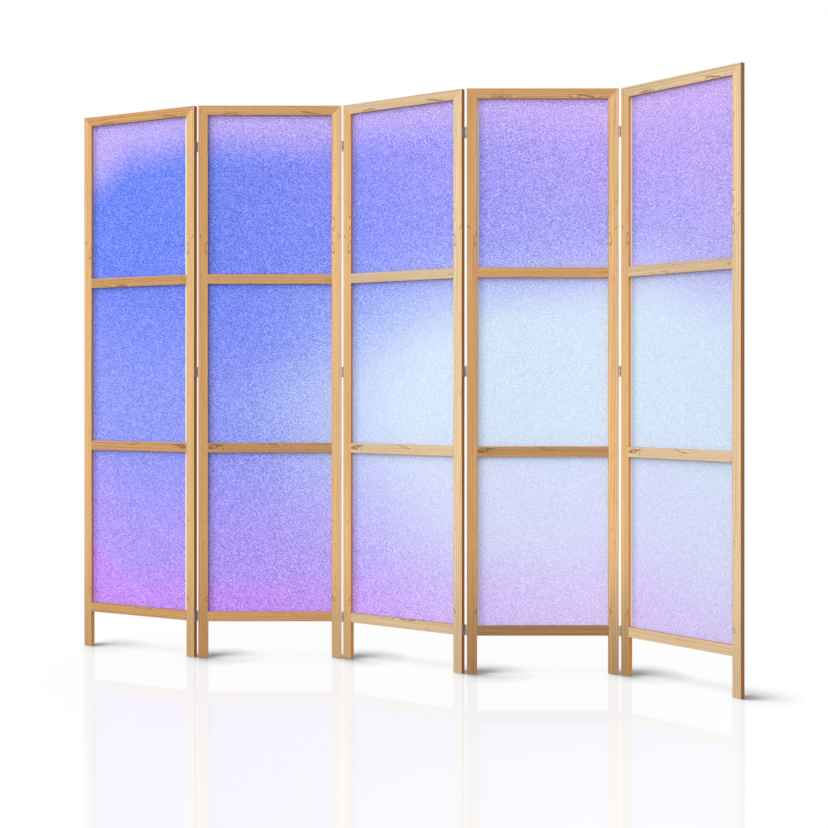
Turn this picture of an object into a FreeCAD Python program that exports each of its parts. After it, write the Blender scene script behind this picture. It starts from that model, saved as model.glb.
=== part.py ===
"""Folding screen of five pine panels, each with a stretched print, joined by small butt hinges.

Each panel is modelled square in its own frame: x runs across the panel from its left edge, y runs
back from its front face and z runs up from the floor. The panels then stand in a zigzag, each one
turned about the pins that it shares with its neighbour. The pins change sides from joint to joint,
at the back first, so the screen closes like an accordion. The whole screen is centred on the
origin at floor level, with its front towards -y. Lengths are in millimetres.
"""
import FreeCAD
import Part
import math
import os

from FreeCAD import Vector

# Panels
panel_height = 1720.0
panel_width = 446.0
frame_thickness = 16.0
stile_width = 30.0
rail_width = 30.0
leg_length = 112.0
eased_edge = 1.0
rail_names = ("bottom_rail", "lower_rail", "upper_rail", "top_rail")

# Joints of the frame: stub tenons on the rails, and a tongue across each mitred top corner
tenon_thickness = 5.0
tenon_shoulder = 5.0
tenon_length_share = 0.5
mortise_clearance = 0.1

# Print, and the beads that hold its edges in a rebate at the back
canvas_depth = 9.4
canvas_thickness = 0.6
canvas_clearance = 0.5
rebate_width = 8.0
bead_clearance = 0.2
bead_chamfer = 2.0

# Butt hinges, with leaves rolled round the pin
hinge_height = 32.0
middle_hinge_height = 889.0
leaf_thickness = 1.2
leaf_margin = 3.5
leaf_corner = 2.0
pin_radius = 1.25
pin_clearance = 0.05
pin_chamfer = 0.3
pin_stand_off = 2.5
knuckle_count = 5
knuckle_gap = 0.3

# Countersunk wood screws
screw_length = 11.0
screw_radius = 1.2
screw_head_radius = 2.3
screw_tip_length = 3.0
screw_spacing = 20.0
screw_clearance = 0.05
slot_width = 0.6
slot_depth = 0.5

# Stand: how far each joint is folded, in degrees, where 0 leaves its two panels in line
fold_angles = (29.0, 36.0, 36.0, 52.0)

# One length past a face, for every cut
overrun = 1.0

# Sizes that follow from those above
window_count = len(rail_names) - 1
top_level = window_count
window_height = (panel_height - leg_length - len(rail_names) * rail_width) / window_count
tenon_length = stile_width * tenon_length_share
knuckle_radius = pin_radius + pin_clearance + leaf_thickness
knuckle_pitch = hinge_height / knuckle_count
panel_gap = 2 * knuckle_radius
leaf_reach = pin_stand_off + frame_thickness - leaf_margin
screw_depth = (pin_stand_off + leaf_reach) / 2
head_depth = screw_head_radius - screw_radius
end_hinge_inset = leg_length + rail_width / 2
hinge_heights = (end_hinge_inset, middle_hinge_height, panel_height - end_hinge_inset)

across = Vector(1, 0, 0)
back = Vector(0, 1, 0)
up = Vector(0, 0, 1)


# Helpers

def box_between(low, high):
    """Box from its lowest to its highest corner."""
    size = high - low
    return Part.makeBox(size.x, size.y, size.z, low)


def edges_along(shape, direction):
    """Straight edges of a shape that run along one direction."""
    found = []
    for edge in shape.Edges:
        start, end = (vertex.Point for vertex in edge.Vertexes)
        if (end - start).cross(direction).Length < Part.Precision.confusion():
            found.append(edge)
    return found


def eased_bar(low, high, direction):
    """Planed bar whose long edges are rounded."""
    bar = box_between(low, high)
    return bar.makeFillet(eased_edge, edges_along(bar, direction))


def face_prism(points, front, rear):
    """Prism over an outline of (x, z) points, from one depth to another."""
    corners = [Vector(x, front, z) for x, z in points]
    outline = Part.makePolygon(corners + corners[:1])
    return Part.Face(outline).extrude(back * (rear - front))


def other_side(shape):
    """Mirror image across the panel's upright middle line."""
    return shape.mirror(Vector(panel_width / 2, 0, 0), across)


def other_face(shape):
    """Mirror image from the panel's front face to its back face."""
    return shape.mirror(Vector(0, frame_thickness / 2, 0), back)


def rail_bottom(level):
    """Height of a rail's lower edge, counted up from the bottom rail at level 0."""
    return leg_length + level * (rail_width + window_height)


# Frame

def rebate():
    """Recess at the back of the frame that takes the print's edges and the beads."""
    low = Vector(stile_width - rebate_width, canvas_depth, rail_bottom(0) + rail_width - rebate_width)
    high = Vector(panel_width - low.x, frame_thickness + overrun, rail_bottom(top_level) + rebate_width)
    return box_between(low, high)


def tenon(level, clearance):
    """Left tenon of a rail, grown by a clearance where it stands for its mortise.

    A plain rail has a stub tenon. The top rail has a tongue that reaches across the mitre.
    """
    start = tenon_shoulder if level == top_level else stile_width - tenon_length
    middle = canvas_depth / 2
    low = Vector(start, middle - tenon_thickness / 2, rail_bottom(level) + tenon_shoulder)
    high = Vector(
        stile_width + tenon_length,
        middle + tenon_thickness / 2,
        rail_bottom(level) + rail_width - tenon_shoulder,
    )
    growth = Vector(clearance, clearance, clearance)
    return box_between(low - growth, high + growth)


def left_stile():
    """Upright that ends in a leg, mitred at the top, with a mortise for each rail."""
    bar = eased_bar(Vector(0, 0, 0), Vector(stile_width, frame_thickness, panel_height), up)
    outline = (
        (0, 0),
        (stile_width, 0),
        (stile_width, rail_bottom(top_level)),
        (0, panel_height),
    )
    bar = bar.common(face_prism(outline, 0, frame_thickness))
    mortises = [tenon(level, mortise_clearance) for level in range(len(rail_names))]
    return bar.cut([rebate()] + mortises)


def rail(level):
    """Crosspiece between the stiles. The middle rails are thinner, so that the print passes behind."""
    is_middle = 0 < level < top_level
    inset = 0 if level == top_level else stile_width
    depth = canvas_depth if is_middle else frame_thickness
    low = Vector(inset, 0, rail_bottom(level))
    high = Vector(panel_width - inset, depth, rail_bottom(level) + rail_width)
    bar = eased_bar(low, high, across)
    if level == top_level:
        outline = (
            (0, panel_height),
            (stile_width, low.z),
            (panel_width - stile_width, low.z),
            (panel_width, panel_height),
        )
        bar = bar.common(face_prism(outline, 0, frame_thickness))
    if not is_middle:
        bar = bar.cut(rebate())
    left_tenon = tenon(level, 0)
    return bar.fuse([left_tenon, other_side(left_tenon)]).removeSplitter()


# Print and beads

def canvas():
    """Stretched print, one sheet behind all three windows."""
    box = rebate().BoundBox
    low = Vector(box.XMin + canvas_clearance, canvas_depth, box.ZMin + canvas_clearance)
    high = Vector(
        box.XMax - canvas_clearance,
        canvas_depth + canvas_thickness,
        box.ZMax - canvas_clearance,
    )
    return box_between(low, high)


def bead(outer_start, outer_end, inner_end, inner_start):
    """One mitred bead over the print's edge, flush with the frame's back, its sight edge chamfered."""
    points = (outer_start, outer_end, inner_end, inner_start)
    bar = face_prism(points, canvas_depth + canvas_thickness, frame_thickness)
    middle_x = (inner_start[0] + inner_end[0]) / 2
    middle_z = (inner_start[1] + inner_end[1]) / 2
    sight_point = Vector(middle_x, frame_thickness, middle_z)
    sight_edge = min(bar.Edges, key=lambda edge: edge.CenterOfMass.distanceToPoint(sight_point))
    return bar.makeChamfer(bead_chamfer, [sight_edge])


def back_beads():
    """The four beads of a panel, clockwise from the lower left corner as seen from the front."""
    box = rebate().BoundBox
    outer = (
        (box.XMin + bead_clearance, box.ZMin + bead_clearance),
        (box.XMin + bead_clearance, box.ZMax - bead_clearance),
        (box.XMax - bead_clearance, box.ZMax - bead_clearance),
        (box.XMax - bead_clearance, box.ZMin + bead_clearance),
    )
    inner = (
        (stile_width, rail_bottom(0) + rail_width),
        (stile_width, rail_bottom(top_level)),
        (panel_width - stile_width, rail_bottom(top_level)),
        (panel_width - stile_width, rail_bottom(0) + rail_width),
    )
    beads = []
    for corner in range(len(outer)):
        following = (corner + 1) % len(outer)
        beads.append(bead(outer[corner], outer[following], inner[following], inner[corner]))
    return Part.makeCompound(beads)


# Hinges, modelled with the pin on the z axis, the leaf's stile beyond +x and the stile's depth along +y

def knuckle_space(number, radius, gap):
    """Cylinder round the pin at one knuckle's height, shortened by a gap or lengthened by a negative."""
    base = Vector(0, 0, number * knuckle_pitch + gap / 2)
    return Part.makeCylinder(radius, knuckle_pitch - gap, base, up)


def screw_places():
    """Where the screws of one leaf start: the middle of each head, on the leaf's open face."""
    head_face = knuckle_radius - leaf_thickness
    heights = ((hinge_height - screw_spacing) / 2, (hinge_height + screw_spacing) / 2)
    return [Vector(head_face, screw_depth, height) for height in heights]


def turned_screw(place, clearance, mouth):
    """Countersunk screw along +x, or its hole, grown by a clearance and opened past the head."""
    shank = screw_radius + clearance
    head = screw_head_radius + clearance
    profile = [
        Vector(-mouth, 0, 0),
        Vector(-mouth, head, 0),
        Vector(0, head, 0),
        Vector(head_depth, shank, 0),
        Vector(screw_length - screw_tip_length, shank, 0),
        Vector(screw_length + clearance, 0, 0),
    ]
    if mouth == 0:
        del profile[1]
    outline = Part.makePolygon(profile + profile[:1])
    turned = Part.Face(outline).revolve(Vector(0, 0, 0), across, 360)
    turned.translate(place)
    return turned


def screw_hole(place):
    """Room for a screw in its leaf and its stile."""
    return turned_screw(place, screw_clearance, overrun)


def screw(place):
    """Screw with a driver slot across its head."""
    reach = screw_head_radius + overrun
    low = place + Vector(-overrun, -reach, -slot_width / 2)
    high = place + Vector(slot_depth, reach, slot_width / 2)
    return turned_screw(place, 0, 0).cut(box_between(low, high))


def hinge_leaf(first_knuckle):
    """Leaf with every second knuckle, cut away round the knuckles of the other leaf."""
    low = Vector(knuckle_radius - leaf_thickness, 0, 0)
    high = Vector(knuckle_radius, leaf_reach, hinge_height)
    plate = box_between(low, high)
    outer_edges = [edge for edge in edges_along(plate, across) if edge.CenterOfMass.y > leaf_reach / 2]
    plate = plate.makeFillet(leaf_corner, outer_edges)
    own = range(first_knuckle, knuckle_count, 2)
    others = [number for number in range(knuckle_count) if number not in own]
    spaces = [knuckle_space(number, knuckle_radius + knuckle_gap, -knuckle_gap) for number in others]
    knuckles = [knuckle_space(number, knuckle_radius, knuckle_gap) for number in own]
    bore = Part.makeCylinder(pin_radius + pin_clearance, hinge_height, Vector(0, 0, 0), up)
    holes = [screw_hole(place) for place in screw_places()]
    return plate.cut(spaces).fuse(knuckles).removeSplitter().cut([bore] + holes)


def hinge_pin():
    """Pin through all the knuckles, with its two ends chamfered."""
    pin = Part.makeCylinder(pin_radius, hinge_height, Vector(0, 0, 0), up)
    rims = [edge for edge in pin.Edges if edge.Closed]
    return pin.makeChamfer(pin_chamfer, rims)


def at_hinges(shapes, joint, on_right_edge):
    """Copies of a hinge's pieces at all hinge heights of a joint, on one edge of a panel."""
    placed = []
    for height in hinge_heights:
        for shape in shapes:
            piece = shape.copy()
            piece.translate(Vector(-panel_gap / 2, -pin_stand_off, height - hinge_height / 2))
            if pins_at_back(joint):
                piece = other_face(piece)
            if on_right_edge:
                piece = other_side(piece)
            placed.append(piece)
    return placed


# Stand

def pins_at_back(joint):
    """Whether a joint's pins are at the back: the first joint's are, and they alternate from there."""
    return joint % 2 == 0


def pin_depth(joint):
    """Depth of a joint's pins in a panel's own frame."""
    return frame_thickness + pin_stand_off if pins_at_back(joint) else -pin_stand_off


def panel_headings():
    """Turn of each panel about the upright, in degrees, with the screen's mean line along x."""
    headings = [0.0]
    for joint, fold in enumerate(fold_angles):
        turn = fold if pins_at_back(joint) else -fold
        headings.append(headings[-1] + turn)
    rise = sum(math.sin(math.radians(heading)) for heading in headings)
    run = sum(math.cos(math.radians(heading)) for heading in headings)
    mean = math.degrees(math.atan2(rise, run))
    return [heading - mean for heading in headings]


def stand_panels():
    """Placement of each panel, hung on the pins of the one before, centred as a whole."""
    placements = []
    pin = Vector(0, 0, 0)
    for panel, heading in enumerate(panel_headings()):
        turn = FreeCAD.Rotation(up, heading)
        left_pin = Vector(-panel_gap / 2, pin_depth(panel - 1), 0)
        placement = FreeCAD.Placement(pin - turn.multVec(left_pin), turn)
        placements.append(placement)
        pin = placement.multVec(Vector(panel_width + panel_gap / 2, pin_depth(panel), 0))
    ground = FreeCAD.BoundBox()
    for placement in placements:
        for x in (0, panel_width):
            for y in (0, frame_thickness):
                ground.add(placement.multVec(Vector(x, y, 0)))
    centring = FreeCAD.Placement(-ground.Center, FreeCAD.Rotation())
    return [centring.multiply(placement) for placement in placements]


# Assembly

def panel_pieces(panel):
    """Named pieces that move with one panel, in the panel's own frame."""
    number = panel + 1
    left_joint = panel - 1
    right_joint = panel
    has_left_joint = left_joint >= 0
    has_right_joint = right_joint < len(fold_angles)
    screws = [screw(place) for place in screw_places()]
    holes = [screw_hole(place) for place in screw_places()]
    left = left_stile()
    right = other_side(left)
    pieces = {}
    if has_left_joint:
        left = left.cut(at_hinges(holes, left_joint, False))
        leaves = at_hinges([hinge_leaf(1)], left_joint, False)
        pieces[f"hinge_{left_joint + 1}_right_leaves"] = Part.makeCompound(leaves)
        placed = at_hinges(screws, left_joint, False)
        pieces[f"hinge_{left_joint + 1}_right_screws"] = Part.makeCompound(placed)
    if has_right_joint:
        right = right.cut(at_hinges(holes, right_joint, True))
        leaves = at_hinges([hinge_leaf(0)], right_joint, True)
        pins = at_hinges([hinge_pin()], right_joint, True)
        pieces[f"hinge_{right_joint + 1}_left_leaves"] = Part.makeCompound(leaves)
        placed = at_hinges(screws, right_joint, True)
        pieces[f"hinge_{right_joint + 1}_left_screws"] = Part.makeCompound(placed)
        pieces[f"hinge_{right_joint + 1}_pins"] = Part.makeCompound(pins)
    pieces[f"panel_{number}_left_stile"] = left
    pieces[f"panel_{number}_right_stile"] = right
    for level, name in enumerate(rail_names):
        pieces[f"panel_{number}_{name}"] = rail(level)
    pieces[f"panel_{number}_canvas"] = canvas()
    pieces[f"panel_{number}_back_beads"] = back_beads()
    return pieces


def main():
    """Builds every panel, stands it in the zigzag and writes its pieces."""
    os.makedirs("parts", exist_ok=True)
    for panel, placement in enumerate(stand_panels()):
        for name, shape in panel_pieces(panel).items():
            shape.Placement = placement.multiply(shape.Placement)
            shape.exportStep(f"parts/{name}.step")
        if panel < len(fold_angles):
            pin = placement.multVec(Vector(panel_width + panel_gap / 2, pin_depth(panel), 0))
            print(f"joint {panel + 1}: pins at x {pin.x:.4f}, y {pin.y:.4f}")


main()
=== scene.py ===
"""Looks of a folding screen: five pine frames with printed canvases, joined by small steel hinges.

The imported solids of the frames, the beads and the hinges stay as they are and get their finishes here.
The five canvases are replaced by stretched sheets of cloth, and the brads of the beads are added. Lengths
are in metres. A panel's own axes run across it from its left edge, back from its front face and up from
the floor.
"""
import logging
import math
from dataclasses import dataclass, replace
from enum import Enum
from functools import partial, reduce

import bpy
import numpy as np
from bpy.types import Material, Node, Object
from bpy.types import NodeSocket as Socket
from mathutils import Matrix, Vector

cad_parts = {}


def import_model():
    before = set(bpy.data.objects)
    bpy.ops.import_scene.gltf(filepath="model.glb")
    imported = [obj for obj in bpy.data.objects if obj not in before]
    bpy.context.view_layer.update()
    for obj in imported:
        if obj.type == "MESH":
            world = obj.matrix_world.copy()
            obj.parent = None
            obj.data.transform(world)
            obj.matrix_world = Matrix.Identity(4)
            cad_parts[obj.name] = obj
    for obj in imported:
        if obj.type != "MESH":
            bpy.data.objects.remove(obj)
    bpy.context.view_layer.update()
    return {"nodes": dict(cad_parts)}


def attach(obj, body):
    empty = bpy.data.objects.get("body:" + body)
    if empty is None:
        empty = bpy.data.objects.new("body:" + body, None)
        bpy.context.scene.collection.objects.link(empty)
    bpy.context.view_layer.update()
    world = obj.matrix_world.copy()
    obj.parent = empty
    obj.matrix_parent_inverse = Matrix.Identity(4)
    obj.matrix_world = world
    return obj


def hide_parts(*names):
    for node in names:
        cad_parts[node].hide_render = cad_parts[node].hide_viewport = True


log = logging.getLogger("folding_screen")

Feed = Socket | float | tuple[float, ...]
Feeds = dict[str | int, Feed]
Pair = tuple[float, float]
Triple = tuple[float, float, float]

PANEL_COUNT = 5
THREAD = 0.0011
WHITE = (1.0, 1.0, 1.0, 1.0)


# Colours and node trees

@dataclass(frozen=True)
class Tone:
    """A colour in display values from 0 to 255, as it should look in plain light."""

    red: float
    green: float
    blue: float

    def light(self, level: float = 1.0) -> tuple[float, float, float, float]:
        """Gives the colour as linear light.

        Args:
            level: Brightness of a lighter or darker piece of the same stuff.

        Returns:
            Red, green and blue light with full opacity.
        """
        shown = np.array([self.red, self.green, self.blue]) / 255.0
        linear = np.where(shown <= 0.04045, shown / 12.92, ((shown + 0.055) / 1.055) ** 2.4)
        return (*np.clip(linear * level, 0.0, 1.0).tolist(), 1.0)


class NodeTree:
    """A tree of nodes, with short calls that add nodes and join them."""

    def __init__(self, tree: bpy.types.NodeTree) -> None:
        """Takes hold of the tree's nodes and links."""
        self.nodes, self.links = tree.nodes, tree.links

    def feed(self, node: Node, feeds: Feeds) -> None:
        """Joins inputs of a node to outputs, or sets them to constants.

        Args:
            node: The node.
            feeds: An output or a constant for each input, by the input's name or number.
        """
        for key, value in feeds.items():
            if isinstance(value, Socket):
                self.links.new(value, node.inputs[key])
            else:
                node.inputs[key].default_value = value

    def add(self, kind: str, feeds: Feeds | None = None, **settings: object) -> Node:
        """Adds a node.

        Args:
            kind: Type of the node.
            feeds: An output or a constant for each input, by the input's name or number.
            settings: Properties of the node, set before its inputs are fed.

        Returns:
            The node.
        """
        node = self.nodes.new(kind)
        for key, value in settings.items():
            setattr(node, key, value)
        self.feed(node, feeds or {})
        return node

    def math(self, operation: str, *values: Feed) -> Socket:
        """Arithmetic on numbers."""
        return self.add("ShaderNodeMath", dict(enumerate(values)), operation=operation).outputs["Value"]

    def product(self, *values: Feed) -> Socket:
        """Product of numbers."""
        return reduce(partial(self.math, "MULTIPLY"), values)

    def most(self, *values: Feed) -> Socket:
        """The greatest of some numbers."""
        return reduce(partial(self.math, "MAXIMUM"), values)

    def vector_math(self, operation: str, *values: Feed) -> Socket:
        """Arithmetic on vectors that gives a vector."""
        node = self.add("ShaderNodeVectorMath", dict(enumerate(values)), operation=operation)
        return node.outputs["Vector"]

    def length(self, vector: Socket, axes: Triple) -> Socket:
        """Length of a vector, with a factor for each of its axes."""
        scaled = self.vector_math("MULTIPLY", vector, axes)
        return self.add("ShaderNodeVectorMath", {0: scaled}, operation="LENGTH").outputs["Value"]

    def moved(self, vector: Socket, place: Triple, turn: Triple, size: Triple = (1.0, 1.0, 1.0)) -> Socket:
        """Coordinates in a frame of another place and turn, with other unit lengths along its axes."""
        feeds = {"Vector": vector, "Location": place, "Rotation": turn, "Scale": size}
        return self.add("ShaderNodeMapping", feeds, vector_type="TEXTURE").outputs["Vector"]

    def parts(self, vector: Socket) -> tuple[Socket, ...]:
        """The x, y and z of a vector."""
        return tuple(self.add("ShaderNodeSeparateXYZ", {"Vector": vector}).outputs)

    def joined(self, *values: Feed) -> Socket:
        """A vector from its x, y and z."""
        return self.add("ShaderNodeCombineXYZ", dict(enumerate(values))).outputs["Vector"]

    def noise(self, place: Socket, scale: Triple, detail: float, rough: float = 0.5) -> Socket:
        """Smooth noise from 0 to 1, with its features to the metre along each axis."""
        feeds = {"Vector": self.vector_math("MULTIPLY", place, scale), "Scale": 1.0, "Detail": detail}
        return self.add("ShaderNodeTexNoise", {**feeds, "Roughness": rough}).outputs["Fac"]

    def ranged(self, kind: str, *values: Feed) -> Socket:
        """Moves a number between two ranges: the number, the ends of the first and of the second."""
        feeds = dict(zip(("Value", "From Min", "From Max", "To Min", "To Max"), values))
        return self.add("ShaderNodeMapRange", feeds, interpolation_type=kind).outputs["Result"]

    def ease(self, value: Socket, start: float, end: float, low: float = 0.0, high: float = 1.0) -> Socket:
        """Smooth step from low at the start to high at the end, which may lie below the start."""
        ends = (start, end, low, high) if start <= end else (end, start, high, low)
        return self.ranged("SMOOTHSTEP", value, *ends)

    def span(self, value: Socket, low: float, high: float) -> Socket:
        """Number from 0 to 1, spread evenly over another range."""
        return self.ranged("LINEAR", value, 0.0, 1.0, low, high)

    def blend(self, share: Feed, first: Feed, second: Feed, mode: str = "MIX") -> Socket:
        """Blend of two colours, by a share of the second."""
        feeds = {"Factor": share, 6: first, 7: second}
        return self.add("ShaderNodeMix", feeds, data_type="RGBA", blend_type=mode).outputs[2]

    def shaded(self, colour: Socket, level: Socket) -> Socket:
        """A colour made lighter or darker."""
        return self.blend(1.0, colour, level, "MULTIPLY")

    def seen(self) -> Socket:
        """Whether a ray comes from the camera, from a mirror or through something clear."""
        path = self.add("ShaderNodeLightPath").outputs
        return self.most(path["Is Camera Ray"], path["Is Glossy Ray"], path["Is Transmission Ray"])


class FinishTree(NodeTree):
    """Node tree of one finish."""

    def __init__(self, name: str) -> None:
        """Starts a material with one shader joined to its output.

        Args:
            name: Name of the material.
        """
        self.material = bpy.data.materials.new(name)
        self.material.use_nodes = True
        super().__init__(self.material.node_tree)
        self.nodes.clear()
        self.shader = self.add("ShaderNodeBsdfPrincipled")
        self.output = self.add("ShaderNodeOutputMaterial", {"Surface": self.shader.outputs["BSDF"]})

    def surface(self, colour: Feed, roughness: Feed, gloss: float = 0.5, metal: float = 0.0) -> None:
        """Feeds the shader's own inputs."""
        feeds = {"Base Color": colour, "Roughness": roughness, "Metallic": metal}
        self.feed(self.shader, {**feeds, "Specular IOR Level": gloss})

    def relief(self, height: Socket, depth: float, strength: float) -> None:
        """Puts a bump on the shader, from heights between 0 and 1 over a depth in metres."""
        bump = self.add("ShaderNodeBump", {"Height": height, "Distance": depth, "Strength": strength})
        self.feed(self.shader, {"Normal": bump.outputs["Normal"]})

    def object_place(self) -> Socket:
        """Place of a point in the shared frame."""
        return self.add("ShaderNodeTexCoord").outputs["Object"]

    def flat_place(self) -> Socket:
        """Place of a point of a canvas on the screen laid flat, in metres."""
        return self.add("ShaderNodeUVMap", uv_map=CanvasSheet.map_name).outputs["UV"]

    def weave(self, flat: Socket) -> Socket:
        """Height of a plain weave from 0 to 1, by the product of the sines of both thread numbers."""
        warp, weft = (self.math("SINE", self.product(way, math.pi / THREAD)) for way in self.parts(flat)[:2])
        return self.math("MULTIPLY_ADD", self.product(warp, weft), 0.5, 0.5)


# Places on the screen

@dataclass(frozen=True)
class ScreenSizes:
    """Sizes that the looks share with the solids."""

    width: float = 0.446
    height: float = 1.720
    thickness: float = 0.016
    stile: float = 0.030
    rail: float = 0.030
    leg: float = 0.112
    window: float = 0.496
    gap: float = 0.005
    canvas_depth: float = 0.0094
    canvas_thickness: float = 0.0006
    canvas_inset: float = 0.0225
    bead_edge: float = 0.0222
    bead_flat: float = 0.0058

    @property
    def pitch(self) -> float:
        """Distance from one panel to the next on the screen laid flat."""
        return self.width + self.gap

    def rail_bottom(self, level: int) -> float:
        """Height of a rail's lower edge, counted up from the bottom rail at level 0."""
        return self.leg + level * (self.rail + self.window)

    @property
    def canvas_bottom(self) -> float:
        """Height of a canvas's lower edge, as far below its window as its sides are beside it."""
        return self.rail_bottom(0) + self.rail - (self.stile - self.canvas_inset)

    @property
    def canvas_top(self) -> float:
        """Height of a canvas's upper edge."""
        return self.rail_bottom(3) + (self.stile - self.canvas_inset)


@dataclass(frozen=True)
class PanelPlace:
    """Where one panel stands: the foot of its left front edge and its turn about the upright."""

    number: int
    corner: Pair
    heading: float

    @classmethod
    def of_canvas(cls, number: int, canvas: Object, sizes: ScreenSizes) -> "PanelPlace":
        """Reads a panel's place from the solid of its canvas, whose plan spreads along the panel.

        Args:
            number: Number of the panel, from 1 at the left.
            canvas: The solid of the canvas.
            sizes: Sizes of the screen.

        Returns:
            The panel's place.
        """
        points = np.empty(len(canvas.data.vertices) * 3)
        canvas.data.vertices.foreach_get("co", points)
        plan = points.reshape(-1, 3)[:, :2]
        spread = plan - plan.mean(axis=0)
        across = np.linalg.svd(spread, full_matrices=False)[2][0]
        across = across * np.sign(across[0])
        backward = np.array([-across[1], across[0]])
        left_front = across * (plan @ across).min() + backward * (plan @ backward).min()
        corner = left_front - across * sizes.canvas_inset - backward * sizes.canvas_depth
        return cls(number, tuple(corner.tolist()), math.atan2(across[1], across[0]))

    def world(self, across: np.ndarray, back: np.ndarray, up: np.ndarray) -> np.ndarray:
        """Turns places on the panel into places in the shared frame.

        Args:
            across: Distances from the panel's left edge.
            back: Distances behind its front face.
            up: Heights above the floor.

        Returns:
            An array of points, with x, y and z along its last axis.
        """
        cosine, sine = math.cos(self.heading), math.sin(self.heading)
        x = self.corner[0] + across * cosine - back * sine
        y = self.corner[1] + across * sine + back * cosine
        return np.stack(np.broadcast_arrays(x, y, up), axis=-1)


# Wood

class BoardKind(Enum):
    """The boards of a panel, by the ends of their names."""

    LEFT_STILE = "left_stile"
    RIGHT_STILE = "right_stile"
    BOTTOM_RAIL = "bottom_rail"
    LOWER_RAIL = "lower_rail"
    UPPER_RAIL = "upper_rail"
    TOP_RAIL = "top_rail"
    BACK_BEADS = "back_beads"

    @property
    def is_stile(self) -> bool:
        """Whether the board stands upright and ends in a leg."""
        return self in (BoardKind.LEFT_STILE, BoardKind.RIGHT_STILE)


class MarkKind(Enum):
    """What a mark in the wood shows: bent grain, a round knot, a dark line or the outline of an eye."""

    TRACE = "trace"
    KNOT = "knot"
    STROKE = "stroke"
    EYE = "eye"


@dataclass(frozen=True)
class Mark:
    """A mark in a board, with an oval reach.

    Its place and reach are along the board and across its face from the middle line, and its turn is in
    radians. Bend is how far a trace pushes the growth rings aside. Gain is how much darker a trace makes
    them, or how dark the other marks are.
    """

    kind: MarkKind
    along: float
    across: float
    reach_along: float
    reach_across: float
    turn: float = 0.0
    bend: float = 0.0
    gain: float = 0.68


class PineTone(Enum):
    """Colours of the boards: the wide, light early wood of a growth ring, then its dark late wood."""

    HONEY = (Tone(210, 160, 102), Tone(158, 106, 56))
    STRAW = (Tone(229, 186, 130), Tone(182, 130, 75))
    PALE = (Tone(234, 205, 162), Tone(194, 151, 101))


@dataclass(frozen=True)
class Board:
    """One board of the frame, with the way that it was sawn from its trunk."""

    name: str
    kind: BoardKind
    place: PanelPlace
    sizes: ScreenSizes
    tone: PineTone
    level: float
    painted_foot_shade: float
    side_shade_level: float
    pith_across: float
    pith_depth: float
    tilt_across: float
    tilt_depth: float
    shift: float
    marks: tuple[Mark, ...]


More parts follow.
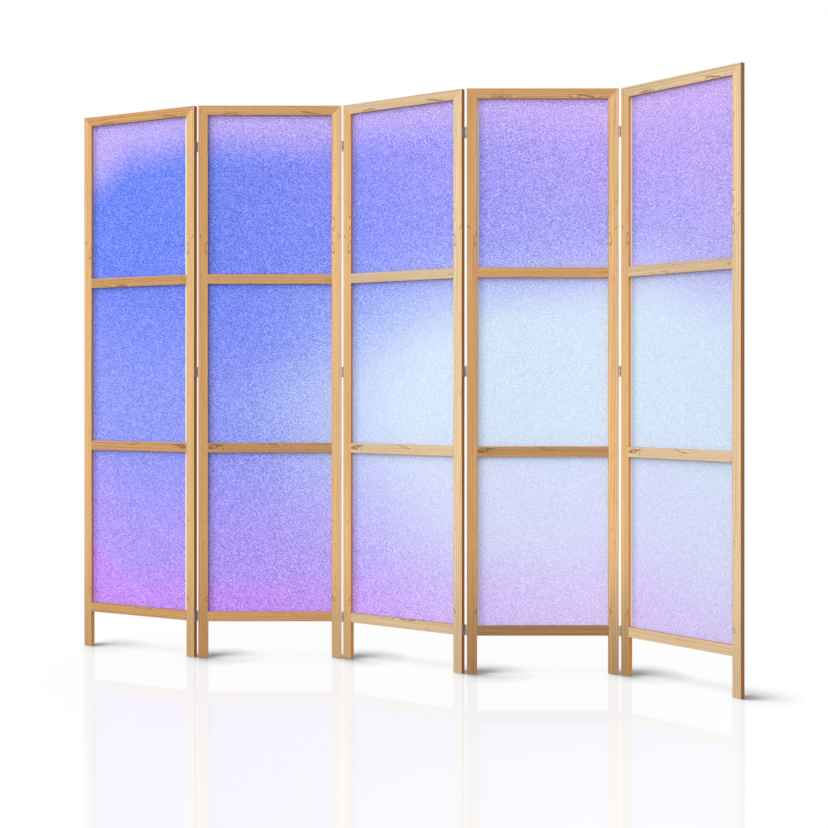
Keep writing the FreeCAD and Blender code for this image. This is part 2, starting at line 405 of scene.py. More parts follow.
@dataclass(frozen=True)
class PineFinish:
    """Planed and waxed pine, with growth rings, fine fibres, knots and rubbed edges, and painted shade on
    its narrow faces and near the floor.
    """

    knot: Tone = Tone(96, 56, 26)
    resin: Tone = Tone(134, 84, 40)
    rubbed: Tone = Tone(240, 208, 160)
    # Colours of painted shade on the narrow faces of the boards.
    shaded_outer_side: Tone = Tone(170, 104, 26)
    shaded_inner_side: Tone = Tone(218, 142, 54)
    shaded_rail_edge: Tone = Tone(146, 98, 48)
    ring_width: float = 0.0038
    ring_share: float = 0.80
    ring_rise: Pair = (0.30, 0.88)
    ring_fall: Pair = (1.0, 0.90)
    waver: float = 0.010
    tremor: float = 0.0030
    roughness: Pair = (0.44, 0.58)
    gloss: float = 0.35
    edge: float = 0.0016
    edge_end: float = 0.0004
    side_shade_fade: Pair = (0.0006, 0.0001)
    foot_height: float = 0.40
    side_shade_share: float = 0.94
    rub_share: float = 0.45
    resin_share: float = 0.45
    wobble: float = 0.004
    knot_line: Pair = (1.0, 0.4)
    stroke_line: Pair = (1.0, 0.3)
    eye_line: Pair = (0.22, 0.05)
    eye_rim: float = 0.8
    relief: Pair = (0.00025, 0.14)

    def grain_axes(self, tree: FinishTree, board: Board) -> Socket:
        """Coordinates along a board, across its face from its middle line, and into its depth.

        Args:
            tree: The board's finish.
            board: The board.

        Returns:
            The coordinates, in metres.
        """
        kind, sizes = board.kind, board.sizes
        rails = [rail for rail in BoardKind if rail.value.endswith("_rail")]
        middle = (sizes.canvas_bottom + sizes.canvas_top) / 2
        if kind in rails:
            origin = (0.0, 0.0, sizes.rail_bottom(rails.index(kind)) + sizes.rail / 2)
        elif kind is BoardKind.BACK_BEADS:
            origin = (sizes.width / 2, 0.0, middle)
        else:
            half = sizes.stile / 2
            origin = (half if kind is BoardKind.LEFT_STILE else sizes.width - half, 0.0, 0.0)
        place, turn = board.place.world(*np.array(origin)).tolist(), (0.0, 0.0, board.place.heading)
        across, back, up = tree.parts(tree.moved(tree.object_place(), place, turn))
        if kind in rails:
            return tree.joined(across, up, back)
        upright = tree.joined(up, across, back)
        if kind.is_stile:
            return upright
        is_level = tree.math("GREATER_THAN", tree.math("ABSOLUTE", up), sizes.rail_bottom(3) - middle)
        return tree.blend(is_level, upright, tree.joined(across, up, back))

    def mark_reach(self, tree: FinishTree, grain: Socket, mark: Mark) -> Socket:
        """Distance from the middle of a mark on the board's face, where 1 is the rim of its oval."""
        turn, size = (0.0, 0.0, mark.turn), (mark.reach_along, mark.reach_across, 1.0)
        return tree.length(tree.moved(grain, (mark.along, mark.across, 0.0), turn, size), (1.0, 1.0, 0.0))

    def marked(self, tree: FinishTree, colour: Socket, grain: Socket, board: Board) -> Socket:
        """Draws the knots, the dark lines and the eyes of a board over its grain.

        Args:
            tree: The board's finish.
            colour: Colour of the wood.
            grain: Coordinates of the board, a little unsteady.
            board: The board.

        Returns:
            The changed colour.
        """
        lines = dict(zip(MarkKind, (None, self.knot_line, self.stroke_line, self.eye_line)))
        for mark in board.marks:
            if line := lines[mark.kind]:
                away = self.mark_reach(tree, grain, mark)
                if mark.kind is MarkKind.EYE:
                    away = tree.math("ABSOLUTE", tree.math("SUBTRACT", away, self.eye_rim))
                share = tree.ease(away, *line, 0.0, mark.gain)
                colour = tree.blend(share, colour, self.knot.light(board.level))
        return colour

    def edged(
        self, tree: FinishTree, colour: Socket, grain: Socket, streaks: Socket, board: Board
    ) -> Socket:
        """Darkens the narrow faces of a board with painted shade, and rubs its long corners pale.

        Args:
            tree: The board's finish.
            colour: Colour of the wood.
            grain: Coordinates of the board.
            streaks: Streaky noise along the grain.
            board: The board.

        Returns:
            The changed colour.
        """
        _, across, depth = tree.parts(grain)
        # Painted shade on the narrow faces: dark brown on the outer sides of the stiles and on the rails'
        # edges, a lighter orange on the stiles' inner sides.
        painted_side: Feed = self.shaded_rail_edge.light()
        if board.kind.is_stile:
            towards = "GREATER_THAN" if board.kind is BoardKind.LEFT_STILE else "LESS_THAN"
            outer = self.shaded_outer_side.light(board.side_shade_level)
            painted_side = tree.blend(tree.math(towards, across, 0.0), outer, self.shaded_inner_side.light())
        half, back = board.sizes.stile / 2, board.sizes.thickness
        aside = tree.math("ABSOLUTE", across)
        fade = (half - inset for inset in self.side_shade_fade)
        narrow = tree.ease(aside, *fade, 0.0, self.side_shade_share)
        colour = tree.blend(narrow, colour, painted_side)
        side = tree.ease(aside, half - self.edge, half - self.edge_end)
        face = tree.most(tree.ease(depth, self.edge, 0.0), tree.ease(depth, back - self.edge, back))
        rub = tree.product(side, face, tree.ease(streaks, 0.40, 0.62, 0.0, self.rub_share))
        return tree.blend(rub, colour, self.rubbed.light())

    def dress(self, board: Board) -> Material:
        """Makes the material of one board.

        A ring is the whole part of the distance from the pith over the ring width. Inside it the wood
        darkens slowly and turns pale at once at the next ring. Traces push the rings aside.

        Args:
            board: The board.

        Returns:
            The material.
        """
        tree = FinishTree(f"pine_{board.name}")
        grain = self.grain_axes(tree, board)
        shifted = tree.vector_math("ADD", grain, (board.shift, board.shift * 0.7, board.shift * 0.3))

        pith = (0.0, board.pith_across, board.pith_depth)
        trunk = tree.moved(grain, pith, (0.0, board.tilt_depth, board.tilt_across))
        sway = tree.noise(shifted, (2.2, 16.0, 16.0), 1.0)
        tremor = tree.noise(shifted, (5.0, 110.0, 110.0), 2.0)
        radius = tree.math("MULTIPLY_ADD", sway, self.waver, tree.length(trunk, (0.0, 1.0, 1.0)))
        radius = tree.math("MULTIPLY_ADD", tremor, self.tremor, radius)
        wobble = tree.product(tree.math("SUBTRACT", tremor, 0.5), self.wobble)
        unsteady = tree.vector_math("ADD", grain, tree.joined(wobble, wobble, 0.0))
        gain: Feed = 1.0
        for mark in board.marks:
            if mark.kind is MarkKind.TRACE:
                near = tree.ease(self.mark_reach(tree, unsteady, mark), 1.0, 0.0)
                radius = tree.math("MULTIPLY_ADD", near, mark.bend, radius)
                gain = tree.math("MULTIPLY_ADD", near, mark.gain, gain)

        rings = tree.math("DIVIDE", radius, self.ring_width)
        place_in_ring = tree.math("FRACT", rings)
        rise, fall = (tree.ease(place_in_ring, *line) for line in (self.ring_rise, self.ring_fall))
        number = {"W": tree.math("FLOOR", rings)}
        vary = tree.add("ShaderNodeTexWhiteNoise", number, noise_dimensions="1D").outputs["Value"]
        late = tree.product(rise, fall, tree.span(vary, 0.35, 1.0), gain, self.ring_share)

        fibres = tree.noise(shifted, (7.0, 900.0, 900.0), 2.0, 0.6)
        streaks = tree.noise(shifted, (1.4, 130.0, 130.0), 2.0, 0.6)
        drift = tree.noise(shifted, (1.8, 9.0, 9.0), 1.0)
        ducts = tree.noise(shifted, (36.0, 380.0, 380.0), 1.0)

        colour = tree.blend(late, *(tone.light(board.level) for tone in board.tone.value))
        shades = [tree.span(fibres, 0.86, 1.12), tree.span(streaks, 0.76, 1.22)]
        shades.append(tree.span(drift, 0.90, 1.10))
        # Painted shade: the stiles darken towards the floor.
        if board.kind.is_stile:
            along = tree.parts(grain)[0]
            shades.append(tree.ease(along, 0.0, self.foot_height, board.painted_foot_shade, 1.0))
        colour = tree.shaded(colour, tree.product(*shades))
        resin = tree.ease(ducts, 0.64, 0.78, 0.0, self.resin_share)
        colour = tree.blend(resin, colour, self.resin.light(board.level))
        colour = self.marked(tree, colour, unsteady, board)
        if board.kind is not BoardKind.BACK_BEADS:
            colour = self.edged(tree, colour, grain, streaks, board)

        tree.surface(colour, tree.span(fibres, *self.roughness), self.gloss)
        height = tree.math("MULTIPLY_ADD", late, 0.5, tree.product(fibres, 0.5))
        tree.relief(height, *self.relief)
        return tree.material


# Print

@dataclass(frozen=True)
class PrintFinish:
    """Soft two-way ombre printed on woven canvas, with the fine speckle of the print, and a painted shadow
    along the left edge of each window.

    Two upright ramps of colours, one for each end of the screen, cross-fade along it. A lift raises the
    place on the ramps between two places along the screen, by an amount that eases between two heights.
    """

    orchid: Tone = Tone(197, 147, 249)
    wisteria: Tone = Tone(175, 155, 248)
    periwinkle: Tone = Tone(144, 155, 247)
    cornflower: Tone = Tone(112, 135, 246)
    lavender: Tone = Tone(190, 174, 248)
    bluebell: Tone = Tone(186, 176, 248)
    amethyst: Tone = Tone(195, 172, 248)
    heather: Tone = Tone(210, 183, 249)
    lilac: Tone = Tone(216, 201, 249)
    mist: Tone = Tone(215, 220, 249)
    ice: Tone = Tone(213, 230, 249)
    unprinted: Tone = Tone(246, 247, 250)
    painted_shadow_width: float = 0.034
    painted_shadow_level: float = 0.72
    speckle_size: float = 0.0012
    speckle_skew: float = 2.5
    speckle_swing: float = 2.1
    speckle_pale: float = 0.35
    speckle_blue: float = 0.58
    first_margin: float = 0.010
    last_margin: float = 0.006
    margin_fade: float = 0.001
    roughness: Pair = (0.92, 0.80)
    gloss: float = 0.25
    relief: Pair = (0.00018, 0.5)
    lifts: tuple[tuple[float, ...], ...] = (
        (0.20, 0.02, 0.80, 1.50, -0.06, 0.045),
        (0.46, 0.26, 1.20, 1.50, 0.0, 0.015),
        (1.90, 2.20, 1.50, 1.20, 0.0, 0.045),
    )

    def ramp(self, tree: FinishTree, height: Socket, stops: list[tuple[float, Tone]]) -> Socket:
        """Colours up the screen.

        Args:
            tree: The finish that reads them.
            height: Share of the screen's height.
            stops: Shares of the height, from the lowest, with their colours.

        Returns:
            The colour.
        """
        node = tree.add("ShaderNodeValToRGB", {"Fac": height})
        node.color_ramp.interpolation = "EASE"
        elements = node.color_ramp.elements
        while len(elements) < len(stops):
            elements.new(1.0)
        for element, (share, tone) in zip(elements, stops):
            element.position, element.color = share, tone.light()
        return node.outputs["Color"]

    def dress(self, sizes: ScreenSizes) -> Material:
        """Makes the material of the printed faces, on the canvas's own map of the flat screen.

        Args:
            sizes: Sizes of the screen.

        Returns:
            The material.
        """
        tree = FinishTree("printed_canvas")
        flat = tree.flat_place()
        along, up, _ = tree.parts(flat)
        cloud = tree.noise(flat, (2.0, 2.0, 0.0), 1.0)
        height = tree.math("DIVIDE", up, sizes.height)
        height = tree.math("ADD", height, tree.span(cloud, -0.020, 0.020))
        for start, end, *rise in self.lifts:
            lift = tree.product(tree.ease(along, start, end), tree.ease(up, *rise))
            height = tree.math("ADD", height, lift)
        left = self.ramp(tree, height, [
            (0.09, self.orchid), (0.19, self.wisteria), (0.42, self.periwinkle), (0.75, self.cornflower),
            (0.885, self.cornflower), (0.985, self.lavender),
        ])
        right = self.ramp(tree, height, [
            (0.09, self.lilac), (0.28, self.mist), (0.45, self.ice), (0.595, self.ice),
            (0.77, self.bluebell), (0.88, self.amethyst), (0.99, self.heather),
        ])
        low = tree.ease(up, 0.74, 0.15)
        middle = tree.math("MULTIPLY_ADD", low, 0.30, tree.ease(up, 0.80, 1.30, 0.84, 1.29))
        width = tree.math("MULTIPLY_ADD", low, 0.50, tree.ease(up, 0.92, 1.30, 0.74, 2.24))
        crossing = tree.math("DIVIDE", tree.math("SUBTRACT", along, middle), width)
        colour = tree.blend(tree.ease(crossing, -0.5, 0.5), left, right)

        colour = self.speckled(tree, flat, colour)
        across = tree.math("MODULO", along, sizes.pitch)
        bare = self.margins(tree, along, across, sizes)
        colour = tree.blend(bare, colour, self.unprinted.light())
        # Painted shadow: the cloth darkens along the left edge of each window, where the stile would cast
        # it.
        strip_end = sizes.stile + self.painted_shadow_width
        colour = tree.shaded(colour, tree.ease(across, sizes.stile, strip_end, self.painted_shadow_level, 1.0))
        weave = tree.weave(flat)
        # Painted shade: the valleys of the weave are a little darker.
        colour = tree.shaded(colour, tree.span(weave, 0.95, 1.0))
        tree.surface(colour, tree.span(weave, *self.roughness), self.gloss)
        tree.relief(weave, *self.relief)
        return tree.material

    def margins(self, tree: FinishTree, along: Socket, across: Socket, sizes: ScreenSizes) -> Socket:
        """Where the print stops short of a window's edge: the first sheet's right, the last two's left.

        Args:
            tree: The finish that reads it.
            along: Distance along the flat screen.
            across: Distance from the panel's left edge.
            sizes: Sizes of the screen.

        Returns:
            The share of bare cloth.
        """
        first_end = sizes.width - sizes.stile - self.first_margin
        last_start = sizes.stile + self.last_margin
        at_right = tree.ease(across, first_end - self.margin_fade, first_end)
        at_left = tree.ease(across, last_start, last_start - self.margin_fade)
        first = tree.product(at_right, tree.math("LESS_THAN", along, sizes.pitch))
        last = tree.product(at_left, tree.math("GREATER_THAN", along, 3 * sizes.pitch))
        return tree.most(first, last)

    def speckled(self, tree: FinishTree, flat: Socket, colour: Socket) -> Socket:
        """Breaks a colour into flecks, many a little darker and a few paler, fainter where it is pale.

        A fleck's step is a power of its random number, less its mean, times a swing that falls with the
        green of the colour. A channel moves by the step times a base plus half of itself.

        Args:
            tree: The finish that reads it.
            flat: Coordinates on the flat screen.
            colour: The colour to break up.

        Returns:
            The flecked colour.
        """
        feeds = {"Vector": flat, "Scale": 1.0 / self.speckle_size}
        cells = tree.add("ShaderNodeTexVoronoi", feeds, voronoi_dimensions="2D", feature="F1")
        chance, green = tree.parts(cells.outputs["Color"])[0], tree.parts(colour)[1]
        mean = 1.0 / (self.speckle_skew + 1.0)
        fleck = tree.math("SUBTRACT", tree.math("POWER", chance, self.speckle_skew), mean)
        pale_swing = self.speckle_pale * self.speckle_swing
        step = tree.product(fleck, tree.ease(green, 0.36, 0.76, self.speckle_swing, pale_swing))
        steps = tree.joined(step, step, tree.product(step, self.speckle_blue))
        gain = tree.vector_math("MULTIPLY_ADD", colour, (0.5, 0.5, 0.5), (0.13, 0.13, 0.13))
        return tree.vector_math("MULTIPLY_ADD", steps, gain, colour)


@dataclass(frozen=True)
class BareClothFinish:
    """Unprinted back of the canvas, off-white with a little slub."""

    cloth: Tone = Tone(232, 229, 222)
    slub: Tone = Tone(221, 216, 206)
    slub_scales: tuple[Triple, ...] = ((700.0, 18.0, 0.0), (18.0, 700.0, 0.0))
    roughness: Pair = (0.95, 0.85)
    gloss: float = 0.2
    relief: Pair = (0.0002, 0.6)

    def dress(self) -> Material:
        """Makes the material of the unprinted faces.

        Returns:
            The material.
        """
        tree = FinishTree("bare_canvas")
        flat = tree.flat_place()
        threads = [tree.noise(flat, scale, 2.0) for scale in self.slub_scales]
        slubs = tree.most(*(tree.ease(thread, 0.54, 0.80) for thread in threads))
        colour = tree.blend(slubs, self.cloth.light(), self.slub.light())
        tree.surface(colour, tree.span(slubs, *self.roughness), self.gloss)
        tree.relief(tree.weave(flat), *self.relief)
        return tree.material


# Metal

@dataclass(frozen=True)
class SteelFinish:
    """Zinc-plated steel, satin, with fine drawing lines and handling marks."""

    name: str
    bright: Tone
    dull: Tone
    roughness: Pair = (0.38, 0.56)
    metal: float = 0.75
    relief: Pair = (0.00004, 0.3)

    def dress(self) -> Material:
        """Makes the material.

        Returns:
            The material.
        """
        tree = FinishTree(self.name)
        place = tree.object_place()
        smudges = tree.noise(place, (160.0, 160.0, 120.0), 3.0, 0.6)
        lines = tree.noise(place, (2500.0, 2500.0, 60.0), 2.0)
        colour = tree.blend(tree.ease(smudges, 0.35, 0.70), self.bright.light(), self.dull.light())
        tree.surface(colour, tree.span(smudges, *self.roughness), metal=self.metal)
        tree.relief(lines, *self.relief)
        return tree.material


# Meshes

def mesh_object(name: str, points: np.ndarray, faces: list[np.ndarray]) -> Object:
    """Puts points and faces into a new mesh object at the origin.

    Args:
        name: Name of the piece.
        points: Points in the shared frame.
        faces: Arrays of faces, each with its own number of corners.

    Returns:
        The piece.
    """
    mesh = bpy.data.meshes.new(name)
    listed = [face for group in faces for face in group.tolist()]
    mesh.from_pydata(points.reshape(-1, 3).tolist(), [], listed)
    mesh.validate()
    piece = bpy.data.objects.new(name, mesh)
    bpy.context.scene.collection.objects.link(piece)
    return piece


def dress_node(node: Object, material: Material) -> None:
    """Gives a solid its finish."""
    for slot in node.material_slots:
        slot.material = material


# Pieces

@dataclass(frozen=True)
class PanelFrame:
    """The six boards and the back beads of a panel's frame."""

    sizes: ScreenSizes
    pine: PineFinish

    def marks(self, number: int, kind: BoardKind) -> tuple[Mark, ...]:
        """Knots and branch traces of a board. The first panel's lower rail is the other way round.

        Args:
            number: Number of the panel.
            kind: Which board it is.

        Returns:
            The marks.
        """
        if kind is BoardKind.BACK_BEADS:
            return ()
        inner, width = self.sizes.stile / 2, self.sizes.width
        end = width - self.sizes.stile
        trace, knot, stroke, eye = MarkKind
        if kind.is_stile:
            side = 1.0 if kind is BoardKind.LEFT_STILE else -1.0
            return (
                Mark(trace, 1.352, side * inner, 0.055, 0.013, bend=0.009, gain=1.1),
                Mark(eye, 1.277, side * (inner - 0.0035), 0.021, 0.0062, turn=side * 0.12, gain=0.60),
                Mark(stroke, 1.312, side * (0.006 - inner), 0.0110, 0.0021, turn=side * -0.72),
                Mark(knot, 0.425, side * 0.0065, 0.0030, 0.0022, gain=0.85),
                Mark(trace, 0.182, side * (inner - 0.004), 0.024, 0.009, bend=0.008, gain=1.3),
                Mark(stroke, 0.186, side * (inner - 0.003), 0.0100, 0.0018, turn=side * 0.45),
                Mark(stroke, 0.178, side * (inner - 0.008), 0.0075, 0.0017, turn=side * -0.50),
            )
        if kind is BoardKind.TOP_RAIL:
            strokes = (
                (0.190, 0.004, 0.0130, 0.0024, 0.20), (0.225, 0.006, 0.0170, 0.0025, 0.16),
                (0.262, 0.004, 0.0120, 0.0024, 0.24), (0.735, 0.010, 0.0140, 0.0023, -0.34),
                (0.768, 0.009, 0.0190, 0.0025, -0.36), (0.800, 0.006, 0.0160, 0.0024, -0.32),
                (0.832, 0.004, 0.0110, 0.0023, -0.26),
            )
            return (
                Mark(trace, 0.225 * width, -inner, 0.060, 0.013, bend=0.009, gain=1.2),
                Mark(trace, 0.780 * width, -inner, 0.060, 0.014, bend=0.009, gain=1.2),
                *(Mark(stroke, share * width, inset - inner, *oval) for share, inset, *oval in strokes),
            )
        if kind is BoardKind.UPPER_RAIL:
            return (
                Mark(knot, end - 0.010, -0.002, 0.0028, 0.0021, gain=0.90),
                Mark(trace, end - 0.010, -0.002, 0.022, 0.009, bend=0.005, gain=0.8),
                Mark(trace, 0.36 * width, -inner, 0.080, 0.012, bend=0.008, gain=0.8),
            )
        if kind is BoardKind.LOWER_RAIL:
            start = self.sizes.stile
            found = (
                Mark(trace, start + 0.020, 0.003, 0.050, 0.015, bend=0.012, gain=1.5),
                Mark(eye, start + 0.017, 0.003, 0.016, 0.0068, turn=0.22, gain=0.88),
                Mark(knot, start + 0.014, 0.002, 0.0080, 0.0028, turn=0.30, gain=0.92),
                Mark(stroke, start + 0.038, 0.007, 0.019, 0.0024, turn=0.10, gain=0.85),
                Mark(trace, 0.53 * width, inner, 0.060, 0.012, bend=0.007, gain=0.5),
                Mark(stroke, 0.50 * width, inner - 0.005, 0.0120, 0.0020, turn=-0.46, gain=0.80),
                Mark(stroke, 0.55 * width, inner - 0.010, 0.0180, 0.0018, turn=-0.08, gain=0.70),
            )
            if number > 1:
                return found
            return tuple(replace(mark, along=width - mark.along, turn=-mark.turn) for mark in found)
        return (Mark(trace, 0.55 * width, inner, 0.090, 0.010, bend=0.008, gain=0.9),)

    def tone(self, number: int, kind: BoardKind) -> tuple[PineTone, float]:
        """Colour of a board, partly painted light and shade.

        Every second panel mixes honey and straw boards, and the others mix straw and pale ones. The first
        panel has the rails of the second. The left stiles are darker than the right ones as painted shade,
        and the paler boards of the third and fifth panels are painted light, on top of boards that differ.

        Args:
            number: Number of the panel.
            kind: Which board it is.

        Returns:
            The board's tone and its brightness in that tone.
        """
        is_lit_panel = number in (3, 5)
        is_lower = kind is BoardKind.LOWER_RAIL
        # Painted shade and light: left stiles darker, and the third and fifth panels' boards paler.
        if kind is BoardKind.LEFT_STILE:
            return (PineTone.STRAW, 0.98) if number % 2 == 1 else (PineTone.HONEY, 1.0)
        if kind in (BoardKind.RIGHT_STILE, BoardKind.BACK_BEADS):
            return PineTone.PALE if is_lit_panel else PineTone.STRAW, 1.0
        if is_lit_panel:
            return PineTone.PALE, (0.93 if is_lower else 0.82) * (1.08 if number == PANEL_COUNT else 1.0)
        if is_lower:
            return PineTone.HONEY, 0.92 if number == 1 else 0.79
        is_dark = number == 4 and kind is BoardKind.BOTTOM_RAIL
        return PineTone.HONEY, 0.52 if is_dark else 0.95

    def painted_foot_shade(self, number: int, kind: BoardKind) -> float:
        """Share of the light that the painted shade near the floor leaves on a foot, least in the middle of
        the row.
        """
        is_deeper_shade = number == 4 or (number == 5 and kind is BoardKind.LEFT_STILE)
        return 0.57 if is_deeper_shade else 0.72 if number == 1 else 0.78

    def board(self, place: PanelPlace, kind: BoardKind) -> Board:
        """Saws one board from its own place in a trunk.

        Args:
            place: The panel's place.
            kind: Which board it is.

        Returns:
            The board.
        """
        order = list(BoardKind).index(kind)
        chance = np.random.default_rng(100 * place.number + order)
        tone, level = self.tone(place.number, kind)
        return Board(
            name=f"panel_{place.number}_{kind.value}",
            kind=kind,
            place=place,
            sizes=self.sizes,
            tone=tone,
            level=level * chance.uniform(0.98, 1.02),
            painted_foot_shade=self.painted_foot_shade(place.number, kind),
            # The fifth panel's outer sides get a deeper painted shade.
            side_shade_level=0.70 if place.number == PANEL_COUNT else 1.0,
            pith_across=chance.choice((-1.0, 1.0)) * chance.uniform(0.035, 0.075),
            pith_depth=chance.uniform(0.030, 0.080),
            tilt_across=chance.uniform(-0.008, 0.008),
            tilt_depth=chance.uniform(-0.010, 0.010),
            shift=chance.uniform(0.0, 40.0),
            marks=self.marks(place.number, kind),
        )

    def dress(self, place: PanelPlace, nodes: dict[str, Object]) -> None:
        """Gives every board of a panel its own piece of pine.

        Args:
            place: The panel's place.
            nodes: The solids, by name.
        """
        for kind in BoardKind:
            board = self.board(place, kind)
            dress_node(nodes[board.name], self.pine.dress(board))
        log.info("panel %d: six boards and the back beads in pine", place.number)


@dataclass(frozen=True)
class CanvasSheet:
    """The printed sheet of one panel, stretched behind its three windows."""

    sizes: ScreenSizes
    columns: int = 60
    rows: int = 210
    slack: float = 0.00025

    map_name = "flat_screen"

    def ripple(self, across: np.ndarray, up: np.ndarray) -> np.ndarray:
        """How far the cloth stands forward of its flat place.

        The tension leaves faint waves in each open window, which die out at the frame and the rails.

        Args:
            across: Distances from the panel's left edge.
            up: Heights above the floor.

        Returns:
            Distances towards the front.
        """
        sizes = self.sizes
        open_width = sizes.width - 2 * sizes.stile
        wide = np.clip((across - sizes.stile) / open_width, 0.0, 1.0)
        pitch = sizes.rail + sizes.window
        level = (up - sizes.rail_bottom(0)) % pitch
        tall = np.clip((level - sizes.rail) / sizes.window, 0.0, 1.0)
        window = np.sin(np.pi * wide) * np.sin(np.pi * tall)
        waves = np.sin(2.3 * np.pi * wide + 1.7 * np.pi * tall) + 0.6 * np.sin(5.1 * np.pi * tall)
        return self.slack * window * waves

    def build(self, place: PanelPlace, printed: Material, bare: Material) -> Object:
        """Builds the sheet as a front and a back grid, closed round its edge.

        Args:
            place: The panel's place.
            printed: Material of the front.
            bare: Material of the back and the edge.

        Returns:
            The sheet.
        """
        sizes = self.sizes
        left, right = sizes.canvas_inset, sizes.width - sizes.canvas_inset
        across, up = np.meshgrid(
            np.linspace(left, right, self.columns + 1),
            np.linspace(sizes.canvas_bottom, sizes.canvas_top, self.rows + 1),
        )
        front = sizes.canvas_depth - self.ripple(across, up)
        points = np.concatenate([
            place.world(across, front, up).reshape(-1, 3),
            place.world(across, front + sizes.canvas_thickness, up).reshape(-1, 3),
        ])
        grid = np.arange(across.size).reshape(across.shape)
        quads = np.stack([grid[:-1, :-1], grid[:-1, 1:], grid[1:, 1:], grid[1:, :-1]], axis=-1)
        quads = quads.reshape(-1, 4)
        ring = np.concatenate([grid[0, :-1], grid[:-1, -1], grid[-1, :0:-1], grid[:0:-1, 0]])
        after = np.roll(ring, -1)
        behind = across.size
        rim = np.stack([ring, ring + behind, after + behind, after], axis=-1)
        sheet = mesh_object(f"canvas_sheet_{place.number}", points, [quads, quads[:, ::-1] + behind, rim])
        mesh = sheet.data
        mesh.materials.append(printed)
        mesh.materials.append(bare)
        finish = np.ones(len(mesh.polygons), dtype=np.int32)
        finish[:len(quads)] = 0
        mesh.polygons.foreach_set("material_index", finish)

        corners = np.empty(len(mesh.loops), dtype=np.int32)
        mesh.loops.foreach_get("vertex_index", corners)
        along = across + (place.number - 1) * sizes.pitch
        flat = np.stack([along, up], axis=-1).reshape(-1, 2)
        layer = mesh.uv_layers.new(name=self.map_name)
        layer.data.foreach_set("uv", flat[corners % behind].ravel())
        mesh.shade_smooth()
        self.declare(sheet, place)
        return sheet

    def declare(self, sheet: Object, place: PanelPlace) -> None:
        """Hangs the sheet on its panel, hides the solid canvas that it replaces and logs its flat size.

        Args:
            sheet: The sheet.
            place: The panel's place.
        """
        sizes = self.sizes
        panel = f"panel_{place.number}"
        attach(sheet, panel)
        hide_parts(f"{panel}_canvas")
        flat = (sizes.width - 2 * sizes.canvas_inset, sizes.canvas_top - sizes.canvas_bottom)
        log.info("%s: sheet of %.3f by %.3f m", sheet.name, *flat)


@dataclass(frozen=True)
class BeadBrads:
    """Heads of the brads that pin the back beads of one panel."""

    sizes: ScreenSizes
    radius: float = 0.0011
    proud: float = 0.00025
    sunk: float = 0.0003
    sides: int = 12
    spacing: float = 0.20
    end_margin: float = 0.045

    def row(self, start: float, end: float) -> np.ndarray:
        """Places along one bead, evenly spaced between its two end margins."""
        count = max(2, round((end - start) / self.spacing) + 1)
        return np.linspace(start + self.end_margin, end - self.end_margin, count)

    def places(self) -> np.ndarray:
        """Places of all heads on a panel, along the flats of its four beads.

        Returns:
            An array of distances across the panel and heights.
        """
        sizes = self.sizes
        inset = sizes.bead_edge + sizes.bead_flat / 2
        lower = sizes.rail_bottom(0) + sizes.rail - (sizes.stile - inset)
        upper = sizes.rail_bottom(3) + (sizes.stile - inset)
        right = sizes.width - inset
        heads = [(side, up) for side in (inset, right) for up in self.row(lower, upper)]
        heads += [(across, level) for level in (lower, upper) for across in self.row(inset, right)]
        return np.array(heads)

    def build(self, place: PanelPlace, steel: Material) -> Object:
        """Builds the heads: low domes turned from a profile of four rings, closed at both ends.

        Args:
            place: The panel's place.
            steel: Material of the brads.

        Returns:
            One piece with all the heads of the panel.
        """
        rings = np.array([
            (self.radius * 0.9, -self.sunk), (self.radius, self.proud * 0.2),
            (self.radius * 0.75, self.proud * 0.75), (self.radius * 0.35, self.proud),
        ])
        angles = np.arange(self.sides) * (2 * np.pi / self.sides)
        heads = self.places()
        across = heads[:, 0, None, None] + rings[None, :, 0, None] * np.cos(angles)
        up = heads[:, 1, None, None] + rings[None, :, 0, None] * np.sin(angles)
        back = self.sizes.thickness + rings[None, :, 1, None] + np.zeros_like(across)
        grid = np.arange(across.size).reshape(across.shape)
        turned = np.roll(grid, -1, axis=2)
        walls = np.stack([grid[:, :-1], grid[:, 1:], turned[:, 1:], turned[:, :-1]], axis=-1)
        brads = mesh_object(
            f"bead_brads_{place.number}",
            place.world(across, back, up),
            [walls.reshape(-1, 4), grid[:, -1, ::-1], grid[:, 0]],
        )
        brads.data.materials.append(steel)
        brads.data.shade_smooth()
        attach(brads, f"panel_{place.number}")
        log.info("%s: %d heads", brads.name, len(heads))
        return brads


@dataclass(frozen=True)
class HingeRow:
    """The three butt hinges of each joint."""

    leaf: SteelFinish = SteelFinish("hinge_leaf_zinc", Tone(192, 189, 184), Tone(146, 143, 138))
    screw: SteelFinish = SteelFinish("screw_zinc", Tone(206, 203, 197), Tone(158, 154, 147), (0.30, 0.46))

    def dress(self, nodes: dict[str, Object]) -> Material:
        """Gives leaves, pins and screws their plating.

        Args:
            nodes: The solids, by name.

        Returns:
            The plating of the small parts, which the brads share.
        """
        plate, small = self.leaf.dress(), self.screw.dress()
        for name, node in nodes.items():
            if name.endswith("_leaves"):
                dress_node(node, plate)
            elif name.endswith(("_screws", "_pins")):
                dress_node(node, small)
        log.info("hinges: leaves, pins and screws plated")
        return small


# Studio

@dataclass(frozen=True)
class Lamp:
    """A broad lamp, in degrees to the left of the camera, above the horizon and across itself."""

    name: str
    left: float
    height: float
    power: float
    width: float


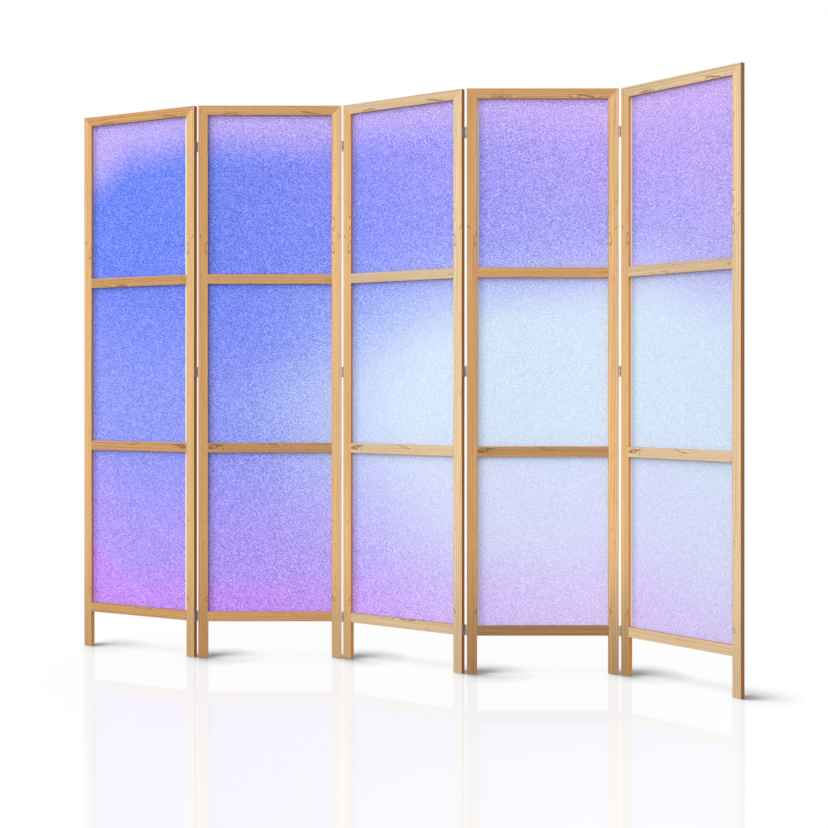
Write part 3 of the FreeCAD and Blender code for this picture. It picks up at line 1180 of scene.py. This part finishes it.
@dataclass(frozen=True)
class Studio:
    """White floor, the camera of the photograph and soft light from the upper left.

    A key lamp and a weak one below it hang in front. One hangs behind, which only the backs see.
    """

    azimuth: float = 23.4015
    eye: Triple = (1.8509, -4.1336, 0.8462)
    lens: float = 64.82
    picture: float = 828.0
    horizon_above_middle: float = 28.2
    sensor: float = 36.0
    lamps: tuple[Lamp, ...] = (
        Lamp("key", 26.0, 60.0, 2.20, 60.0),
        Lamp("front", 26.0, 14.0, 0.92, 34.0),
        Lamp("back", 190.0, 48.0, 2.20, 60.0),
    )
    ambient: float = 0.30
    floor_tone: Tone = Tone(173, 173, 173)
    floor_seen: Tone = Tone(252, 252, 252)
    floor_glow: float = 0.90
    floor_level: float = 0.97
    floor_mirror: float = 0.12
    floor_roughness: float = 0.9
    floor_gloss: float = 0.1
    polish_roughness: float = 0.06
    # Painted shadow of the feet on the floor.
    contact_left: float = 90.0
    contact_height: float = 18.0
    contact_reach: float = 0.185
    contact_shade: float = 0.10
    contact_edge: float = 0.76
    contact_samples: int = 24
    floor_reach: float = 30.0

    def direction(self, left: float, height: float) -> Vector:
        """Direction from the screen to a lamp.

        Args:
            left: Degrees to the left of the camera.
            height: Degrees above the horizon.

        Returns:
            A unit vector.
        """
        turn = math.radians(self.azimuth - left)
        rise = math.radians(height)
        return Vector((math.sin(turn) * math.cos(rise), -math.cos(turn) * math.cos(rise), math.sin(rise)))

    def build_camera(self) -> None:
        """Sets up the level camera, shifted so that the horizon lies where the photograph has it."""
        camera = bpy.data.cameras.new("camera")
        camera.lens = self.lens
        camera.sensor_width = self.sensor
        camera.shift_y = -self.horizon_above_middle / self.picture
        holder = bpy.data.objects.new("camera", camera)
        holder.location = self.eye
        holder.rotation_euler = (math.pi / 2, 0.0, math.radians(self.azimuth))
        bpy.context.scene.collection.objects.link(holder)
        bpy.context.scene.camera = holder

    def build_lamps(self) -> None:
        """Hangs all lamps."""
        for lamp in self.lamps:
            light = bpy.data.lights.new(lamp.name, "SUN")
            light.energy, light.angle = lamp.power, math.radians(lamp.width)
            holder = bpy.data.objects.new(lamp.name, light)
            holder.rotation_euler = self.direction(lamp.left, lamp.height).to_track_quat("Z", "Y").to_euler()
            bpy.context.scene.collection.objects.link(holder)

    def build_world(self) -> None:
        """Surrounds the scene with even light, white where it is seen or mirrored."""
        world = bpy.data.worlds.new("studio")
        world.use_nodes = True
        tree = NodeTree(world.node_tree)
        level = tree.span(tree.seen(), self.ambient, 1.0)
        tree.feed(tree.nodes["Background"], {"Color": WHITE, "Strength": level})
        bpy.context.scene.world = world

    def build_floor(self) -> None:
        """Lays the floor: pale, faintly polished, and with a glow that meets the white background.

        The glow is dimmed where a foot blocks an occlusion test towards the left: a painted shadow on the
        floor to the right of the feet, which no lamp casts.
        """
        plan = np.array([(-1.0, -1.0, 0.0), (1.0, -1.0, 0.0), (1.0, 1.0, 0.0), (-1.0, 1.0, 0.0)])
        floor = mesh_object("floor", plan * self.floor_reach, [np.array([[0, 1, 2, 3]])])
        tree = FinishTree("studio_floor")
        seen = tree.seen()
        shown = tree.blend(seen, self.floor_tone.light(), self.floor_seen.light())
        tree.surface(shown, self.floor_roughness, self.floor_gloss)
        # Painted shadow of the feet, from an occlusion test towards the left.
        painted_shadow_side = tree.joined(*self.direction(self.contact_left, self.contact_height))
        feeds = {"Distance": self.contact_reach, "Normal": painted_shadow_side}
        contact = tree.add("ShaderNodeAmbientOcclusion", feeds, samples=self.contact_samples)
        shade = (self.contact_edge, 1.0, self.contact_shade, self.floor_level)
        glow = tree.add("ShaderNodeEmission", {"Strength": tree.ease(contact.outputs["AO"], *shade)})
        polish = tree.add("ShaderNodeBsdfGlossy", {"Color": WHITE, "Roughness": self.polish_roughness})
        surface = tree.shader.outputs["BSDF"]
        for share, layer in ((self.floor_glow, glow), (self.floor_mirror, polish)):
            feeds = {"Fac": tree.product(seen, share), 1: surface, 2: layer.outputs[0]}
            surface = tree.add("ShaderNodeMixShader", feeds).outputs["Shader"]
        tree.feed(tree.output, {"Surface": surface})
        floor.data.materials.append(tree.material)

    def build(self) -> None:
        """Sets up the whole studio."""
        self.build_camera()
        self.build_lamps()
        self.build_world()
        self.build_floor()
        bpy.context.scene.view_settings.view_transform = "Standard"
        log.info("studio: camera, three lamps, world and floor")


def corners(box: tuple[Vector, Vector]) -> list[list[float]]:
    """The two corners of a box as plain lists."""
    return [list(corner) for corner in box]


def main() -> None:
    """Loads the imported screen, dresses it, adds its soft and small pieces and sets up the studio."""
    logging.basicConfig(level=logging.INFO, format="%(name)s: %(message)s")
    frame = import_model()
    nodes = frame["nodes"]
    sizes = ScreenSizes()

    Studio().build()
    small_steel = HingeRow().dress(nodes)
    printed, bare = PrintFinish().dress(sizes), BareClothFinish().dress()
    panel_frame = PanelFrame(sizes, PineFinish())
    canvas_sheet = CanvasSheet(sizes)
    bead_brads = BeadBrads(sizes)
    for number in range(1, PANEL_COUNT + 1):
        place = PanelPlace.of_canvas(number, nodes[f"panel_{number}_canvas"], sizes)
        panel_frame.dress(place, nodes)
        canvas_sheet.build(place, printed, bare)
        bead_brads.build(place, small_steel)


if __name__ == "__main__":
    main()
